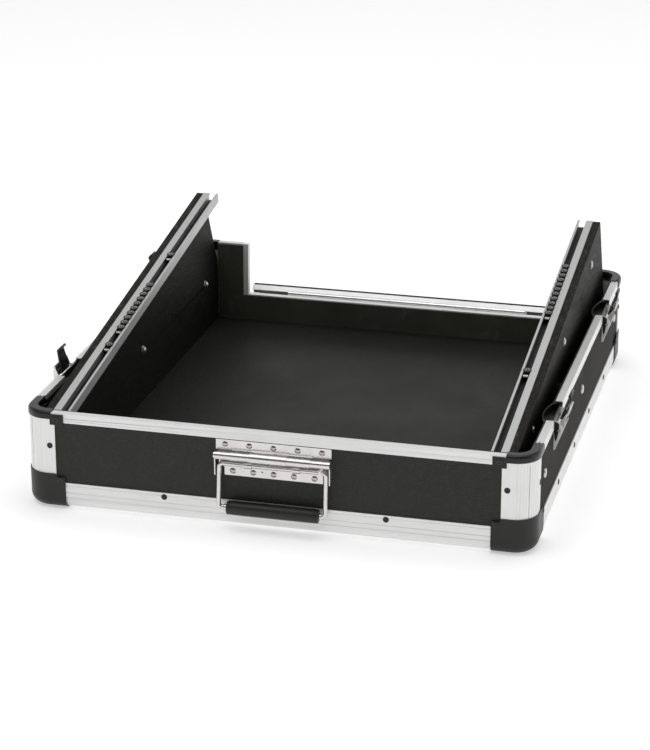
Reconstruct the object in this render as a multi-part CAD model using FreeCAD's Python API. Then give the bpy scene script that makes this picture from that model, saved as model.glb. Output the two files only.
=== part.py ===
"""Pro-audio mixer rack case: a shallow open case body with two sloping 19-inch rack rails.

Millimetres. X is the case's width (right is +X), Y its depth (rear is +Y), Z is up.
The origin is the centre of the case body on the surface it stands on.
"""
import FreeCAD, Part
import math
import os

Vec = FreeCAD.Vector

# ---- driving dimensions --------------------------------------------------
CASE_W = 550.0              # outer width of the aluminium edging
CASE_D = 626.0              # outer depth
CASE_TOP = 109.5            # height of the wall trims
SKIN = 1.2                  # thickness of extrusions, ball corners and caps
PANEL = 6.0                 # plywood wall thickness
TRIM_W = 8.2                # width of a wall trim across the wall
TRIM_H = 10.6               # height of a wall trim's legs
CORNER_R = 24.0             # radius of the upright corners
EDGE_R = 11.0               # radius of the lower edges
PROFILE_TOP = 30.5          # upper edge of the bottom edge profiles
PROFILE_LEG = 25.0          # width of the leg under the floor
FLOOR_TOP = 8.2             # top face of the base panel
FLANGE_X = 240.0            # where a corner profile's flange ends on the front and rear
FLANGE_Y = 281.0            # and on the sides
BALL_X = 230.0              # where a ball corner's tab ends on the front and rear
BALL_Y = 261.0              # and on the sides
BALL_TOP = 40.0
CAP_X = 244.0               # where a top cap ends on the front and rear
CAP_Y = 269.5               # and on the sides
CAP_FOOT = 102.5            # lower edge of a top cap
SEAM = 0.2                  # gap between the front and rear trims and the caps

RAIL_SLOPE = 8.5            # degrees, the rack rails rise to the rear
RAIL_REAR_Y = 249.4         # rear end of the rails' top face
RAIL_REAR_Z = 191.2
RAIL_FRONT_Y = -301.0
SLOT_X = 232.55             # centre of the nut channel: 19-inch racks need 465.1 between them
SLOT_W = 7.6                # opening between the channel's lips
CAVITY_W = 10.5             # width under the lips
RAIL_DEPTH = 11.5
BOARD_IN = 244.5            # inner face of a rack board
BOARD_T = 9.0

NOTCH_X = 204.0             # half width of the cable notch in the rear wall
NOTCH_Z = 42.7              # top of the trimmed low part
FLAP_X = 203.0
FLAP_T = 7.0
FLAP_BOTTOM = 45.8          # of the closed flap
FLAP_TOP = 107.5
FLAP_LINING_T = 2.6
HINGE_Y = 316.0             # axis of the piano hinge
HINGE_Z = 44.2
HINGE_X = 154.0
KNUCKLE_R = 3.0
PIN_R = 1.4

HANDLE_PIVOT_Y = -317.3
HANDLE_PIVOT_Z = 73.2
GRIP_Y = -321.5
GRIP_Z = 25.5
GRIP_R = 7.6
GRIP_L = 98.5
BAIL_X = 57.5
ROD_R = 2.4

LATCH_Y = {"front": -176.0, "rear": 171.0}
LATCH_HALF = 29.0           # half length of a latch block along the wall
LATCH_X = 279.5             # lever pivot
LATCH_Z = 96.0
LEVER_L = 20.0
HOOK_AT = 10.0              # distance of the hook's pivot from the lever's
HOOK_L = 25.5
# degrees outward from upright: how far each lever and each hook leans
LEVER_LEAN = {"left_front": 8.0, "left_rear": 21.0, "right_front": 21.0, "right_rear": 21.0}
HOOK_LEAN = {"left_front": 9.0, "left_rear": 22.0, "right_front": 22.0, "right_rear": 22.0}

WALL_BOLT_Y = (-255.0, -4.0, 247.0)
WALL_BOLT_Z = 71.0
SIDE_SCREW_Y = (-160.0, -51.0, 56.0, 170.0)
NUT_PITCH = 11.9
NUT_PROUD = 1.1             # how far a nut's flange stands above the rail
# distance of the nuts from the rear end of the rail, down the slope
LEFT_ROW = [258.0 + NUT_PITCH * i for i in range(10)]
RIGHT_ROW = [128.0 + NUT_PITCH * i for i in range(11)]
NUTS = {
    "left_rear_nut": (-1, [177.0]),
    "left_nut_row": (-1, LEFT_ROW),
    "left_front_nut": (-1, [407.0]),
    "right_nut_row": (1, RIGHT_ROW),
    "right_front_nut": (1, [383.0]),
}

# ---- sizes that follow from them -----------------------------------------
HALF_W = CASE_W / 2
HALF_D = CASE_D / 2
PANEL_OUT = SKIN                      # inset of a wall panel's outer face
PANEL_IN = SKIN + PANEL               # inset of its inner face
WALL_X = HALF_W - PANEL_IN
WALL_Y = HALF_D - PANEL_IN
ARC_X = HALF_W - CORNER_R             # centre of an upright corner
ARC_Y = HALF_D - CORNER_R
TRIM_FOOT = CASE_TOP - TRIM_H
BOARD_OUT = BOARD_IN + BOARD_T
LINING_IN = 264.0
REAR_LINING_IN = 303.0
SLOPE = math.radians(RAIL_SLOPE)
ALONG = Vec(0, math.cos(SLOPE), math.sin(SLOPE))
NORMAL = Vec(0, -math.sin(SLOPE), math.cos(SLOPE))
RAIL_REAR = Vec(0, RAIL_REAR_Y, RAIL_REAR_Z)
RAIL_L = (RAIL_REAR_Y - RAIL_FRONT_Y) / math.cos(SLOPE)
# the flap leans on the surface with its free edge when it is folded open
FLAP_REACH = math.hypot(HINGE_Y - HALF_D, FLAP_TOP - HINGE_Z)
FLAP_OPEN = math.degrees(
    math.acos(-(HINGE_Z - 0.15) / FLAP_REACH)
    + math.atan2(HINGE_Y - HALF_D, FLAP_TOP - HINGE_Z)
)
SIDES = (-1, 1)
QUADRANTS = ((-1, -1), (1, -1), (-1, 1), (1, 1))


# ---- general helpers ------------------------------------------------------
def box(x0, x1, y0, y1, z0, z1):
    """A box between two corners, given in any order."""
    low = Vec(min(x0, x1), min(y0, y1), min(z0, z1))
    return Part.makeBox(abs(x1 - x0), abs(y1 - y0), abs(z1 - z0), low)


def cyl(start, direction, radius, length):
    return Part.makeCylinder(radius, length, Vec(*start), Vec(*direction))


def prism(points, direction):
    """A solid from a closed outline and the vector it is pushed along."""
    wire = Part.makePolygon([Vec(*p) for p in points] + [Vec(*points[0])])
    return Part.Face(wire).extrude(Vec(*direction))


def fuse(shapes):
    result = shapes[0]
    if len(shapes) > 1:
        result = result.fuse(shapes[1:])
    return result.removeSplitter()


def mirror(shape, side):
    """The shape itself on the right, its mirror image on the left."""
    if side > 0:
        return shape
    return shape.mirror(Vec(0, 0, 0), Vec(1, 0, 0))


def quadrant(shape, sx, sy):
    """A shape made for the right rear corner, moved by mirroring to another corner."""
    if sx < 0:
        shape = shape.mirror(Vec(0, 0, 0), Vec(1, 0, 0))
    if sy < 0:
        shape = shape.mirror(Vec(0, 0, 0), Vec(0, 1, 0))
    return shape


def save(node, shapes):
    """One STEP file for one node. A node of identical fasteners holds several solids."""
    solids = [solid for shape in shapes for solid in shape.Solids]
    shape = solids[0] if len(solids) == 1 else Part.makeCompound(solids)
    if not shape.isValid():
        print("INVALID", node)
    print(f"{node:24s} {len(solids):3d} solids {shape.Volume / 1000:9.2f} cm3")
    shape.exportStep(f"parts/{node}.step")


def upright_block(inset, z0, z1):
    """The plan of the case shrunk by an inset, with its round upright corners."""
    block = box(-HALF_W + inset, HALF_W - inset, -HALF_D + inset, HALF_D - inset, z0, z1)
    upright = [e for e in block.Edges if abs(e.BoundBox.ZLength - (z1 - z0)) < 1e-6]
    return block.makeFillet(CORNER_R - inset, upright)


def envelope(inset):
    """The outer form of the case shrunk by an inset, with its round lower edges too."""
    bottom = SKIN + inset
    block = upright_block(inset, bottom, CASE_TOP + SKIN)
    low = [e for e in block.Edges if e.BoundBox.ZMax < bottom + 1e-6]
    return block.makeFillet(EDGE_R - inset, low)


def ring(inset_out, inset_in, z0, z1):
    return upright_block(inset_out, z0, z1).cut(upright_block(inset_in, z0 - 1, z1 + 1))


OUTER = envelope(0)
BOARDING = envelope(PANEL_OUT)


# ---- fasteners and the holes for them -------------------------------------
def button_head(start, direction, radius, height):
    """A low domed head standing on a face."""
    head = cyl(start, direction, radius, height)
    rim = [e for e in head.Edges if abs(e.Length - 2 * math.pi * radius) < 1e-3]
    far = Vec(*start) + Vec(*direction) * height
    top = [e for e in rim if (e.CenterOfMass - far).Length < 1e-3]
    return head.makeFillet(height * 0.7, top)


def screw(start, outward, head_r, head_h, shank_r, shank_l):
    """A screw whose head stands on a face at start and whose shank goes in."""
    inward = tuple(-c for c in outward)
    head = button_head(start, outward, head_r, head_h)
    return fuse([head, cyl(start, inward, shank_r, shank_l)])


def edging_screw_places():
    """Start and outward direction of the black screws that hold the edging to the walls."""
    places = []
    for sy in SIDES:
        for x in (-120.0, 120.0):
            places.append(((x, sy * HALF_D, 26.0), (0, sy, 0)))
        for x in (-246.0, 246.0):
            places.append(((x, sy * HALF_D, 72.0), (0, sy, 0)))
    for sx in SIDES:
        for y in SIDE_SCREW_Y:
            places.append(((sx * HALF_W, y, 22.0), (sx, 0, 0)))
        for y in (-284.5, 284.5):
            places.append(((sx * HALF_W, y, 73.0), (sx, 0, 0)))
    for sx, sy in QUADRANTS:
        places.append(((sx * 235.0, sy * (HALF_D + SKIN), 33.5), (0, sy, 0)))
        places.append(((sx * (HALF_W + SKIN), sy * 266.0, 33.5), (sx, 0, 0)))
        places.append(((sx * 237.5, sy * (HALF_D + SKIN), 103.0), (0, sy, 0)))
    return places


EDGING_SCREW = dict(head_r=3.2, head_h=1.0, shank_r=1.2, shank_l=6.5)


def edging_screws():
    return [screw(start, out, **EDGING_SCREW) for start, out in edging_screw_places()]


def shank_tools():
    """The holes that the edging's screws need."""
    tools = []
    for start, out in edging_screw_places():
        inward = tuple(-c for c in out)
        tools.append(cyl(start, inward, EDGING_SCREW["shank_r"], EDGING_SCREW["shank_l"]))
    return Part.makeCompound(tools)


SHANKS = shank_tools()
BOLT_R = 3.0
BOLTS = Part.makeCompound(
    [cyl((-HALF_W, y, WALL_BOLT_Z), (1, 0, 0), BOLT_R, CASE_W) for y in WALL_BOLT_Y]
)


# ---- floor, walls and linings ----------------------------------------------
def base_panel():
    blank = box(-WALL_X, WALL_X, -WALL_Y, WALL_Y, 2 * SKIN, FLOOR_TOP)
    return blank.common(BOARDING)


def cross_panel(sy):
    """The front wall, or the rear wall before its notch is cut."""
    top = CASE_TOP - SKIN
    blank = box(-ARC_X, ARC_X, sy * WALL_Y, sy * (WALL_Y + PANEL), 2 * SKIN, top)
    return blank.common(BOARDING).cut(SHANKS)


def front_panel():
    return cross_panel(-1)


def rear_panel():
    low = NOTCH_Z - SKIN
    half = NOTCH_X + SKIN
    notch = box(-half, half, WALL_Y - 1, HALF_D + 1, low, CASE_TOP + 1)
    return cross_panel(1).cut(notch).cut(hinge_screw_holes(-1))


def latch_gap(side, place, x_in, x_out, z0, grow=0.0):
    """The space that a latch block takes up in a side wall."""
    y = LATCH_Y[place]
    half = LATCH_HALF + grow
    return box(side * x_in, side * x_out, y - half, y + half, z0, CASE_TOP + 5)


def side_panel(side):
    blank = box(side * WALL_X, side * (WALL_X + PANEL), -ARC_Y, ARC_Y, 2 * SKIN, CASE_TOP - SKIN)
    panel = blank.common(BOARDING).cut(SHANKS).cut(BOLTS)
    for place in LATCH_Y:
        panel = panel.cut(latch_gap(side, place, LINING_IN - 10, HALF_W + 5, 90.0))
    return panel


def lining(side):
    """Black board on the inner face of a side wall."""
    half = WALL_Y
    low = box(side * LINING_IN, side * WALL_X, -half, half, FLOOR_TOP, TRIM_FOOT)
    high = box(side * LINING_IN, side * (HALF_W - TRIM_W), -half, half, TRIM_FOOT, 106.5)
    board = fuse([low, high]).cut(BOLTS)
    for place in LATCH_Y:
        board = board.cut(latch_gap(side, place, LINING_IN - 10, HALF_W + 5, 90.0))
    corners = Part.makeCompound([s for q in corner_profiles() for s in q.Solids])
    for sy in SIDES:
        board = board.cut(
            box(side * 250, side * 290, sy * (CAP_Y - 0.3), sy * HALF_D, CAP_FOOT - 0.3, CASE_TOP)
        )
    return board.cut(corners)


def rear_lining():
    """Black board on the inner face of the rear wall, covering the trims' inner legs."""
    half = BOARD_IN - 0.5
    leg_y = HALF_D - TRIM_W
    lap = 8.0
    board = box(-half, half, REAR_LINING_IN, WALL_Y, FLOOR_TOP, CASE_TOP - 1.8)
    notch_half = NOTCH_X + 6.4
    notch = box(-notch_half, notch_half, 290, 320, NOTCH_Z - 1.2, CASE_TOP + 1)
    notch_legs = box(-NOTCH_X - lap, NOTCH_X + lap, leg_y, 320, NOTCH_Z - lap, CASE_TOP + 1)
    trim_legs = box(-half - 1, half + 1, leg_y, 320, TRIM_FOOT, CASE_TOP + 1)
    board = board.cut(notch).cut(notch_legs).cut(trim_legs)
    for side in SIDES:
        flange = box(side * (FLANGE_X - 0.3), side * 260, leg_y, 320, 0, CASE_TOP + 1)
        cap = box(side * (BALL_X - 0.3), side * 260, leg_y - 1.4, 320, CAP_FOOT - 0.3, CASE_TOP + 1)
        board = board.cut(flange).cut(cap)
    return board


# ---- aluminium edging -------------------------------------------------------
GROOVE_AT = 4.3
GROOVE_W = 0.6
GROOVE_DEEP = 0.3


def trim_section():
    """A wall trim's outline as (inset from the outer face, height) pairs."""
    leg = TRIM_W - 1.0
    roof = CASE_TOP - SKIN
    bed = CASE_TOP - GROOVE_DEEP
    return [
        (0, TRIM_FOOT), (0, CASE_TOP), (GROOVE_AT, CASE_TOP), (GROOVE_AT, bed),
        (GROOVE_AT + GROOVE_W, bed), (GROOVE_AT + GROOVE_W, CASE_TOP), (TRIM_W, CASE_TOP),
        (TRIM_W, TRIM_FOOT), (leg, TRIM_FOOT), (leg, roof), (SKIN, roof), (SKIN, TRIM_FOOT),
    ]


def cross_trim(sy, x0, x1):
    points = [(x0, sy * (HALF_D - inset), z) for inset, z in trim_section()]
    return prism(points, (x1 - x0, 0, 0)).cut(SHANKS)


def side_trims(side):
    """A side wall's trim, cut into three lengths by the two latches."""
    points = [(side * (HALF_W - inset), -ARC_Y, z) for inset, z in trim_section()]
    trim = prism(points, (0, 2 * ARC_Y, 0))
    for place in LATCH_Y:
        trim = trim.cut(latch_gap(side, place, LINING_IN - 10, HALF_W + 5, TRIM_FOOT - 1))
    return [trim]


def front_trim():
    return cross_trim(-1, -CAP_X + SEAM, CAP_X - SEAM)


def rear_trims():
    outer = CAP_X - SEAM
    inner = NOTCH_X + TRIM_W
    return [cross_trim(1, -outer, -inner), cross_trim(1, inner, outer)]


def notch_trim():
    """U-profile round the edge of the cable notch, in one bent length."""
    lap = 8.0
    y0 = HALF_D - TRIM_W
    y1 = HALF_D

    def frame(half, low, front, rear):
        outer = box(-half - lap, half + lap, front, rear, low - lap, CASE_TOP)
        return outer.cut(box(-half, half, front - 1, rear + 1, low, CASE_TOP + 1))

    body = frame(NOTCH_X, NOTCH_Z, y0, y1)
    slot_half = NOTCH_X + SKIN
    slot_low = NOTCH_Z - SKIN
    slot = box(-300, 300, y0 + 1.0, y1 - SKIN, 0, CASE_TOP - SKIN)
    slot = slot.cut(box(-slot_half, slot_half, y0, y1, slot_low, CASE_TOP + 1))
    return body.cut(slot).cut(hinge_screw_holes(-1))


def bottom_section():
    """The bottom edge profile as an L with a round heel: outline as a list of edges."""
    r_out = EDGE_R
    r_in = EDGE_R - SKIN
    heel = (EDGE_R, SKIN + EDGE_R)
    turn = math.sqrt(0.5)

    def on_arc(radius):
        return (heel[0] - radius * turn, heel[1] - radius * turn)

    return {
        "outer": [(0, PROFILE_TOP), (0, heel[1]), on_arc(r_out), (heel[0], SKIN), (PROFILE_LEG, SKIN)],
        "inner": [
            (PROFILE_LEG, 2 * SKIN), (heel[0], 2 * SKIN), on_arc(r_in),
            (SKIN, heel[1]), (SKIN, PROFILE_TOP),
        ],
    }


def bottom_profile(to_point, push):
    """An edge profile; to_point turns (inset, height) into a place on its start face."""
    section = bottom_section()
    out = [Vec(*to_point(*p)) for p in section["outer"]]
    inn = [Vec(*to_point(*p)) for p in section["inner"]]
    edges = [
        Part.makeLine(out[0], out[1]),
        Part.Arc(out[1], out[2], out[3]).toShape(),
        Part.makeLine(out[3], out[4]),
        Part.makeLine(out[4], inn[0]),
        Part.makeLine(inn[0], inn[1]),
        Part.Arc(inn[1], inn[2], inn[3]).toShape(),
        Part.makeLine(inn[3], inn[4]),
        Part.makeLine(inn[4], out[0]),
    ]
    return Part.Face(Part.Wire(edges)).extrude(Vec(*push))


RIB_HEIGHTS = (14.0, 19.5, 27.5)
RIB_R = 0.7
RIB_OFF = 0.45


def cross_profile(sy):
    half = FLANGE_X - 0.5
    body = bottom_profile(lambda i, z: (-half, sy * (HALF_D - i), z), (2 * half, 0, 0))
    for z in RIB_HEIGHTS:
        body = body.cut(cyl((-half, sy * (HALF_D + RIB_OFF), z), (1, 0, 0), RIB_R, 2 * half))
    return body.cut(SHANKS)


def side_profile(side):
    half = FLANGE_Y - 0.5
    body = bottom_profile(lambda i, z: (side * (HALF_W - i), -half, z), (0, 2 * half, 0))
    for z in RIB_HEIGHTS:
        body = body.cut(cyl((side * (HALF_W + RIB_OFF), -half, z), (0, 1, 0), RIB_R, 2 * half))
    for sy in SIDES:
        under = box(-FLANGE_X, FLANGE_X, sy * (HALF_D - PROFILE_LEG - 1), sy * HALF_D, 0, 5)
        body = body.cut(under)
    return body.cut(SHANKS)


def corner_profiles():
    """Upright corner extrusions: a fluted outer shell, an inner shell and two webs."""
    foot = 14.0
    head = CASE_TOP - TRIM_H - 0.4
    region_x = box(FLANGE_X, HALF_W, ARC_Y, HALF_D, foot, head)
    region_y = box(ARC_X, HALF_W, FLANGE_Y, HALF_D, foot, head)
    region = region_x.fuse(region_y)
    outer = ring(0, SKIN, foot, head).common(region)
    inner = ring(PANEL_IN, PANEL_IN + 1.0, foot, head).common(region)
    webs = [
        box(ARC_X, ARC_X + SKIN, WALL_Y - 0.5, HALF_D - 0.5, foot, head),
        box(WALL_X - 0.5, HALF_W - 0.5, ARC_Y, ARC_Y + SKIN, foot, head),
    ]
    neck = ring(0, SKIN, head, CAP_FOOT - 0.2).common(box(CAP_X + 0.2, 300, ARC_Y + 0.2, 330, 90, 110))
    profile = fuse([outer, inner, neck] + webs)
    for degrees in range(6, 86, 8):
        a = math.radians(degrees)
        reach = CORNER_R + 0.45
        flute = cyl(
            (ARC_X + reach * math.cos(a), ARC_Y + reach * math.sin(a), foot),
            (0, 0, 1), 0.9, CAP_FOOT - foot,
        )
        profile = profile.cut(flute)
    return [quadrant(profile, sx, sy).cut(SHANKS) for sx, sy in QUADRANTS]


# ---- black corners -----------------------------------------------------------
def ball_corners():
    """Pressed corner shells with a tab along each edge; the case stands on them."""
    shell = envelope(-SKIN).cut(OUTER)
    full = box(FLANGE_X, 300, BALL_Y + 10, 330, -5, BALL_TOP)
    tabs = box(BALL_X, 300, BALL_Y, 330, -5, BALL_TOP - 3)
    region = full.fuse(tabs)
    corner = shell.common(region)
    return [quadrant(corner, sx, sy).cut(SHANKS) for sx, sy in QUADRANTS]


def top_caps():
    """Rounded caps that carry the trims round the upper corners."""
    roof = CASE_TOP + SKIN
    outer = upright_block(-SKIN, CAP_FOOT, roof)
    rim = [e for e in outer.Edges if e.BoundBox.ZMin > roof - 1e-6]
    outer = outer.makeFillet(3.4, rim)
    outer = outer.cut(upright_block(TRIM_W + SKIN, CAP_FOOT - 1, roof + 1))
    cavity = ring(0, TRIM_W, CAP_FOOT - 1, CASE_TOP)
    channel = outer.cut(cavity)
    body = channel.common(box(CAP_X, 300, CAP_Y, 330, 90, 120))
    face = HALF_D
    tab = box(BALL_X, CAP_X + 0.8, face, face + SKIN, TRIM_FOOT - 2.6, CASE_TOP - 1.5)
    crown = []
    for x in (HALF_W - 2.2, HALF_W - 6.2):
        tip = [(x - 1.7, CAP_Y - 0.1, 105), (x + 1.7, CAP_Y - 0.1, 105), (x, CAP_Y + 4.0, 105)]
        crown.append(prism(tip, (0, 0, 10)))
    cap = fuse([body, tab]).cut(Part.makeCompound(crown))
    return [quadrant(cap, sx, sy).cut(SHANKS) for sx, sy in QUADRANTS]


# ---- rack boards and rails -----------------------------------------------------
def rail_z(y):
    """Height of the rails' top face at a depth y."""
    return RAIL_REAR_Z - (RAIL_REAR_Y - y) * math.tan(SLOPE)


def on_rail(x, back, deep):
    """A point given by its distance from the rail's rear end and below its top face."""
    return RAIL_REAR + Vec(x, 0, 0) - ALONG * back - NORMAL * deep


RAIL_SCREW_BACK = (70.0, 267.0, 467.0)
RAIL_SCREW_DEEP = 24.0
RAIL_SCREW_R = 2.0
FLANGE_T = 1.5


def rail_screw_holes(side):
    holes = []
    for back in RAIL_SCREW_BACK:
        start = on_rail(side * (BOARD_IN - 5), back, RAIL_SCREW_DEEP)
        holes.append(cyl(tuple(start), (side, 0, 0), RAIL_SCREW_R, BOARD_T + 8))
    return Part.makeCompound(holes)


def rack_board(side):
    foot = FLOOR_TOP
    outline = [
        (RAIL_FRONT_Y, foot), (RAIL_FRONT_Y, rail_z(RAIL_FRONT_Y) - 0.6),
        (RAIL_REAR_Y, RAIL_REAR_Z - 0.6), (291.0, 109.5), (303.5, 85.0), (303.5, foot),
    ]
    points = [(side * BOARD_IN, y, z) for y, z in outline]
    board = prism(points, (side * BOARD_T, 0, 0))
    return board.cut(BOLTS).cut(rail_screw_holes(side))


def rack_rail(side):
    """A channel for sliding nuts with a flange screwed to the rack board."""
    lip = 1.3
    wall = 1.25
    slot_in = SLOT_X - SLOT_W / 2
    slot_out = SLOT_X + SLOT_W / 2
    cav_in = SLOT_X - CAVITY_W / 2
    cav_out = SLOT_X + CAVITY_W / 2
    bed = RAIL_DEPTH - 1.5
    section = [
        (cav_in - wall, 0), (slot_in, 0), (slot_in, lip), (cav_in, lip), (cav_in, bed),
        (cav_out, bed), (cav_out, lip), (slot_out, lip), (slot_out, 0), (BOARD_IN, 0),
        (BOARD_IN, 30.0), (BOARD_IN - FLANGE_T, 30.0), (BOARD_IN - FLANGE_T, 1.5),
        (cav_out + wall, 1.5), (cav_out + wall, RAIL_DEPTH), (cav_in - wall, RAIL_DEPTH),
    ]
    points = [tuple(on_rail(side * x, RAIL_L, deep)) for x, deep in section]
    rail = prism(points, tuple(ALONG * RAIL_L))
    return rail.cut(rail_screw_holes(side))


def rail_inserts():
    """Black anti-rattle strips on the floor of the nut channels."""
    strips = []
    for side in SIDES:
        half = CAVITY_W / 2 - 0.3
        corners = [(-half, 10.0), (half, 10.0), (half, 9.1), (-half, 9.1)]
        points = [tuple(on_rail(side * SLOT_X + dx, RAIL_L - 1, deep)) for dx, deep in corners]
        strips.append(prism(points, tuple(ALONG * (RAIL_L - 2))))
    return strips


def rail_screws():
    """Screws through the board into the rail's flange, with a nut on the rail side."""
    screws = []
    for side in SIDES:
        for back in RAIL_SCREW_BACK:
            face = on_rail(side * BOARD_OUT, back, RAIL_SCREW_DEEP)
            reach = BOARD_T + FLANGE_T
            bolt = screw(tuple(face), (side, 0, 0), 4.0, 2.2, RAIL_SCREW_R, reach + 3.5)
            seat = on_rail(side * (BOARD_IN - FLANGE_T), back, RAIL_SCREW_DEEP)
            nut = cyl(tuple(seat), (-side, 0, 0), 3.4, 2.6)
            screws.append(fuse([bolt, nut]))
    return screws


def sliding_nuts(side, backs):
    """Channel nuts: a square body under the lips, a round neck in the slot and a flange on top."""
    nuts = []
    half_w = CAVITY_W / 2 - 0.3
    half_l = NUT_PITCH / 2 - 0.2
    for back in backs:
        corners = [(-half_w, -half_l), (half_w, -half_l), (half_w, half_l), (-half_w, half_l)]
        top = 1.6
        foot = 8.8
        points = [tuple(on_rail(side * SLOT_X + dx, back + dl, foot)) for dx, dl in corners]
        body = prism(points, tuple(NORMAL * (foot - top)))
        centre = on_rail(side * SLOT_X, back, foot)
        neck = cyl(tuple(centre), tuple(NORMAL), SLOT_W / 2 - 0.3, foot + NUT_PROUD)
        rest = on_rail(side * SLOT_X, back, -0.3)
        flange = cyl(tuple(rest), tuple(NORMAL), 4.6, NUT_PROUD - 0.3)
        bore = cyl(tuple(centre - NORMAL), tuple(NORMAL), 2.5, foot + 3)
        nuts.append(fuse([body, neck, flange]).cut(bore))
    return nuts


def wall_bolts():
    """Domed bolts through the side wall, the spacer and the rack board, with cap nuts."""
    bolts = []
    for side in SIDES:
        for y in WALL_BOLT_Y:
            face = (side * (WALL_X + PANEL), y, WALL_BOLT_Z)
            reach = WALL_X + PANEL - BOARD_IN + 3.0
            bolts.append(screw(face, (side, 0, 0), 5.2, 2.6, BOLT_R, reach))
    return bolts


def wall_bolt_nuts():
    nuts = []
    for side in SIDES:
        for y in WALL_BOLT_Y:
            face = (side * BOARD_IN, y, WALL_BOLT_Z)
            cap = button_head(face, (-side, 0, 0), 5.5, 4.5)
            nuts.append(cap.cut(cyl(face, (-side, 0, 0), BOLT_R, 3.0)))
    return nuts


def board_spacers():
    """Steel sleeves that hold each rack board off the side wall."""
    sleeves = []
    for side in SIDES:
        for y in WALL_BOLT_Y:
            start = (side * BOARD_OUT, y, WALL_BOLT_Z)
            length = LINING_IN - BOARD_OUT
            sleeve = cyl(start, (side, 0, 0), 5.0, length)
            sleeves.append(sleeve.cut(cyl(start, (side, 0, 0), BOLT_R, length)))
    return sleeves


# ---- front handle ---------------------------------------------------------------
PLATE_FACE = -(HALF_D - PANEL_OUT)    # the front panel's outer face
PLATE_OUT = PLATE_FACE - SKIN
UPPER_RIVETS = (-52.0, -26.0, 0.0, 26.0, 52.0)
LOWER_RIVETS = (-44.0, -22.0, 0.0, 22.0, 44.0)
UPPER_RIVET_Z = 93.2
LOWER_RIVET_Z = 64.0
BARREL_Y = -318.0
BARREL_Z = 82.0
BARREL_R = 4.7
HANDLE_RIVET_R = 1.6


def handle_rivet_holes():
    holes = []
    for xs, z in ((UPPER_RIVETS, UPPER_RIVET_Z), (LOWER_RIVETS, LOWER_RIVET_Z)):
        for x in xs:
            holes.append(cyl((x, PLATE_OUT - 1, z), (0, 1, 0), HANDLE_RIVET_R, 9.0))
    return Part.makeCompound(holes)


def handle_rivets():
    rivets = []
    for xs, z in ((UPPER_RIVETS, UPPER_RIVET_Z), (LOWER_RIVETS, LOWER_RIVET_Z)):
        for x in xs:
            rivets.append(screw((x, PLATE_OUT, z), (0, -1, 0), 3.3, 1.3, HANDLE_RIVET_R, 7.0))
    return rivets


def handle_backplate():
    """Sheet plate with two riveted strips, a rolled barrel and two loops for the bail."""
    upper = box(-62, 62, PLATE_OUT, PLATE_FACE, 87.0, 98.2)
    web = box(-59, 59, PLATE_OUT, PLATE_FACE, 68.0, 87.5)
    lower = box(-53, 53, PLATE_OUT, PLATE_FACE, 58.8, 68.5)
    steps = [(-62, -45, -0.3), (-45, -24, 0.1), (-24, 16, 0.9), (16, 41, 0.3), (41, 62, -0.4)]
    rolls = [
        cyl((x0, BARREL_Y, BARREL_Z), (1, 0, 0), BARREL_R + grow, x1 - x0)
        for x0, x1, grow in steps
    ]
    neck = box(-62, 62, BARREL_Y, PLATE_FACE, BARREL_Z + 1.5, BARREL_Z + 4.0)
    ears = [box(s * 61, s * 62.2, -320.0, PLATE_FACE, 60.5, 84.0) for s in SIDES]
    loops = []
    for x in (-30, 22):
        loop = cyl((x, HANDLE_PIVOT_Y, HANDLE_PIVOT_Z), (1, 0, 0), 3.5, 8.0)
        foot = box(x, x + 8, HANDLE_PIVOT_Y, PLATE_FACE, HANDLE_PIVOT_Z - 3.3, HANDLE_PIVOT_Z - 1.5)
        loops += [loop, foot]
    plate = fuse([upper, web, lower, neck] + rolls + ears + loops)
    plate = plate.cut(cyl((-63, BARREL_Y, BARREL_Z), (1, 0, 0), 3.6, 126))
    plate = plate.cut(cyl((-61, HANDLE_PIVOT_Y, HANDLE_PIVOT_Z), (1, 0, 0), ROD_R + 0.1, 122))
    plate = plate.cut(cyl((-12, PLATE_OUT - 2, 66.0), (0, 1, 0), 1.5, 3.1))
    return plate.cut(handle_rivet_holes())


def handle_spring_rod():
    """The rod inside the barrel that carries the return spring."""
    rod = cyl((-62, BARREL_Y, BARREL_Z), (1, 0, 0), 1.8, 124)
    head = cyl((-63.0, BARREL_Y, BARREL_Z), (1, 0, 0), 3.4, 3.5)
    return fuse([rod, head])


def handle_spring():
    """Torsion spring round the rod, its turns simplified to closed rings on a sleeve."""
    sleeve = cyl((-20, BARREL_Y, BARREL_Z), (1, 0, 0), 2.6, 36)
    turns = []
    for i in range(12):
        turns.append(cyl((-19.5 + 3 * i, BARREL_Y, BARREL_Z), (1, 0, 0), 3.3, 1.6))
    spring = fuse([sleeve] + turns)
    return spring.cut(cyl((-21, BARREL_Y, BARREL_Z), (1, 0, 0), 1.8, 38))


def bail_point(x, share):
    """A point of the bail: share 0 is the pivot, share 1 the middle of the grip."""
    y = HANDLE_PIVOT_Y + share * (GRIP_Y - HANDLE_PIVOT_Y)
    z = HANDLE_PIVOT_Z + share * (GRIP_Z - HANDLE_PIVOT_Z)
    return Vec(x, y, z)


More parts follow.
